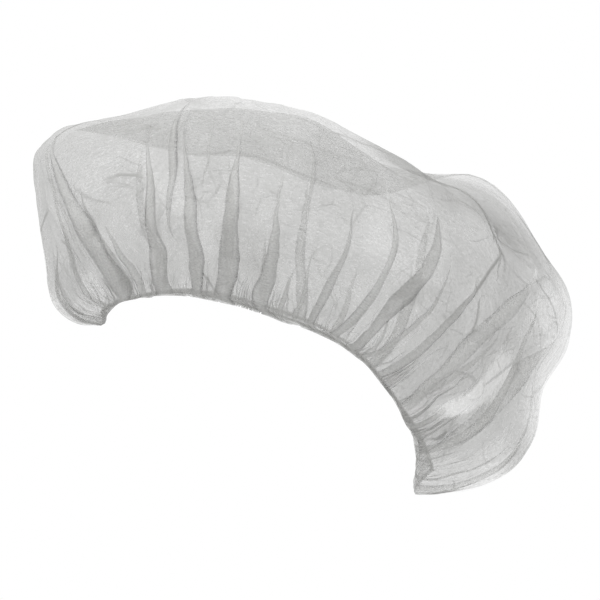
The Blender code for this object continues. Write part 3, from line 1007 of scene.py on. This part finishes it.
def crease_group():
    """Thin creases of crumpled cloth: a mask of 1 on each crease, from its place in the cut disc."""
    group, place, leave = new_group("cloth_creases", ("Crease",))
    shift = group.nodes.new("ShaderNodeVectorMath")
    shift.operation = "MULTIPLY_ADD"
    shift.inputs[1].default_value = (CREASE_WARP, CREASE_WARP, 0.0)
    group.links.new(noise_at(group, place, Scale=26.0, Detail=1.0)["Color"], shift.inputs[0])
    group.links.new(place, shift.inputs[2])
    total = None
    for scale, width, kept in CREASE_NETS:
        cells = add_node(group, "ShaderNodeTexVoronoi", Scale=scale)
        cells.feature = "DISTANCE_TO_EDGE"
        group.links.new(shift.outputs[0], cells.inputs["Vector"])
        line = smooth_range(group, cells.outputs["Distance"], 0.0, width, 1.0, 0.0)
        pick = noise_at(group, place, Scale=scale * 0.9, Detail=0.0)["Fac"]
        shown = smooth_range(group, pick, kept, kept + CREASE_FADE, 0.0, 1.0)
        crease = math_node(group, "MULTIPLY", line, shown)
        total = crease if total is None else math_node(group, "MAXIMUM", total, crease)
    group.links.new(total, leave.inputs["Crease"])
    return group


def single_crease(tree):
    """A mask of 1 along each single crease, from the cloth's own attributes."""
    off_line = math_node(tree, "ABSOLUTE", attribute(tree, "off_crease"), 0.0)
    line = smooth_range(tree, off_line, 0.0, 1.0, 1.0, 0.0)
    return math_node(tree, "MULTIPLY", line, attribute(tree, "crease"))


def new_material(name, roughness):
    """A new material, its node tree and its shader."""
    material = bpy.data.materials.new(name)
    material.use_nodes = True
    shader = material.node_tree.nodes["Principled BSDF"]
    shader.inputs["Roughness"].default_value = roughness
    return material, material.node_tree, shader


def colour_between(tree, shader, share, first, second):
    """Colours a shader from first to second by a share."""
    mix = tree.nodes.new("ShaderNodeMix")
    mix.data_type = "RGBA"
    mix.inputs[6].default_value = first
    mix.inputs[7].default_value = second
    tree.links.new(share, mix.inputs["Factor"])
    tree.links.new(mix.outputs[2], shader.inputs["Base Color"])


def add_bump(tree, shader, height, strength, distance):
    """Gives a shader the bumps of a height."""
    bump = add_node(tree, "ShaderNodeBump", Strength=strength, Distance=distance)
    tree.links.new(height, bump.inputs["Height"])
    tree.links.new(bump.outputs[0], shader.inputs["Normal"])


def cloth_material(name, fibres, creases, density, colour, fold_light_pucker_shade_colour):
    """White spunbond: see-through by its density, and denser where it lies folded or creased."""
    material, tree, shader = new_material(name, CLOTH_ROUGHNESS)
    shader.inputs["Specular IOR Level"].default_value = CLOTH_SPECULAR
    place = tree.nodes.new("ShaderNodeUVMap")
    place.uv_map = "cut_disc"
    web = use_group(tree, fibres, place.outputs[0])
    spread = math_node(tree, "MULTIPLY", web["Density"], WEB_SPREAD)
    alpha = math_node(tree, "ADD", math_node(tree, "ADD", attribute(tree, "denser"), spread), density)
    height = web["Height"]
    if creases is not None:
        crumpled = use_group(tree, creases, place.outputs[0])["Crease"]
        for crease, share in ((single_crease(tree), CREASE_DENSER), (crumpled, CREASE_DENSITY)):
            alpha = math_node(tree, "ADD", alpha, math_node(tree, "MULTIPLY", crease, share))
            height = math_node(tree, "ADD", height, crease)
    clamp = add_node(tree, "ShaderNodeClamp", Min=LEAST_DENSITY)
    tree.links.new(alpha, clamp.inputs["Value"])
    tree.links.new(clamp.outputs[0], shader.inputs["Alpha"])
    # The second colour is painted light where the cloth lies folded, for the light through its layers, and
    # painted shade on the hem's puckers.
    colour_between(tree, shader, attribute(tree, "folded"), colour, fold_light_pucker_shade_colour)
    add_bump(tree, shader, height, *CLOTH_BUMP)
    return material


def elastic_material():
    """White covered elastic: fine cross threads over a soft core."""
    material, tree, shader = new_material("covered_elastic", ELASTIC_ROUGHNESS)
    place = tree.nodes.new("ShaderNodeTexCoord").outputs["Object"]
    threads = noise_at(tree, place, Scale=1400.0, Detail=2.0, Roughness=0.5)["Fac"]
    colour_between(tree, shader, threads, ELASTIC_SHADE_COLOUR, ELASTIC_COLOUR)
    add_bump(tree, shader, threads, *ELASTIC_BUMP)
    return material


# Setting

def make_camera():
    """The camera that sees the cap as the photo does."""
    data = bpy.data.cameras.new("photo_camera")
    data.sensor_width = SENSOR_WIDTH
    data.lens = SENSOR_WIDTH * CAMERA_DISTANCE / FRAME_WIDTH
    camera = add_object("photo_camera", data)
    tilt = math.radians(CAMERA_ELEVATION)
    x, y, z = FRAME_CENTRE
    camera.location = (x, y - CAMERA_DISTANCE * math.cos(tilt), z + CAMERA_DISTANCE * math.sin(tilt))
    camera.rotation_euler = (math.pi / 2 - tilt, 0.0, 0.0)
    bpy.context.scene.camera = camera


def show_camera(tree, lit, seen, out):
    """Shows the camera one shader, where light rays meet another."""
    path = tree.nodes.new("ShaderNodeLightPath")
    mix = tree.nodes.new("ShaderNodeMixShader")
    tree.links.new(path.outputs["Is Camera Ray"], mix.inputs[0])
    tree.links.new(lit.outputs[0], mix.inputs[1])
    tree.links.new(seen.outputs[0], mix.inputs[2])
    tree.links.new(mix.outputs[0], out.inputs["Surface"])


def make_world():
    """A white studio: white where the camera sees it, and softer as light."""
    world = bpy.data.worlds.new("white_studio")
    world.use_nodes = True
    tree = world.node_tree
    tree.nodes.clear()
    seen = add_node(tree, "ShaderNodeBackground", Color=WHITE, Strength=1.0)
    light = add_node(tree, "ShaderNodeBackground", Color=WHITE, Strength=WORLD_LIGHT)
    show_camera(tree, light, seen, tree.nodes.new("ShaderNodeOutputWorld"))
    bpy.context.scene.world = world


def make_light(name, place, size, power):
    """A large soft light that faces the cap."""
    data = bpy.data.lights.new(name, "AREA")
    data.size = size
    data.energy = power
    light = add_object(name, data)
    light.location = place
    away = np.array(place) - np.array(FRAME_CENTRE)
    tilt = math.acos(away[2] / np.linalg.norm(away))
    light.rotation_euler = (tilt, 0.0, math.atan2(away[1], away[0]) + math.pi / 2)


def make_floor():
    """A plain pale floor, well below the cap."""
    level = CAD_BOX[0][2] - FLOOR_DROP
    mesh = bpy.data.meshes.new("studio_floor")
    sides = ((-1, -1), (1, -1), (1, 1), (-1, 1))
    mesh.from_pydata([(FLOOR_REACH * x, FLOOR_REACH * y, level) for x, y in sides], [], [(0, 1, 2, 3)])
    floor = add_object("studio_floor", mesh)
    material, tree, shader = new_material("pale_floor", FLOOR_ROUGHNESS)
    shader.inputs["Base Color"].default_value = FLOOR_COLOUR
    white = add_node(tree, "ShaderNodeEmission", Color=WHITE, Strength=1.0)
    show_camera(tree, shader, white, tree.nodes["Material Output"])
    mesh.materials.append(material)


def dress():
    """Makes the cloth and the hem, and finishes the elastic."""
    fibres = fibre_group()
    creases = crease_group()
    cloth = make_cloth()
    # Folded cloth takes a lighter colour here: painted light for the light that passes through its layers.
    finish = cloth_material("spunbond_cloth", fibres, creases, CLOTH_DENSITY, CLOTH_COLOUR, FOLDED_PAINTED_LIGHT_COLOUR)
    cloth.data.materials.append(finish)
    hem = make_hem()
    # The hem is painted lighter than the cloth, as painted light, and darker on its puckers, as painted
    # shade.
    finish = cloth_material("spunbond_hem", fibres, None, HEM_DENSITY, HEM_PAINTED_LIGHT_COLOUR, HEM_PUCKER_PAINTED_SHADE_COLOUR)
    hem.data.materials.append(finish)
    for piece, node, slot in ((cloth, "crown", "nonwoven"), (hem, "hem", "gathered_hem")):
        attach(piece, "root")
        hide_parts(node)
    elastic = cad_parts["elastic"]
    elastic.data.materials.clear()
    elastic.data.materials.append(elastic_material())


bpy.context.scene.view_settings.view_transform = "Standard"
bpy.context.scene.cycles.transparent_max_bounces = 64
make_camera()
make_world()
make_light("key_softbox", (-0.9, -0.8, 1.5), 1.0, 14.0)
make_light("fill_softbox", (1.4, -1.2, 0.6), 1.2, 2.5)
make_floor()
dress()
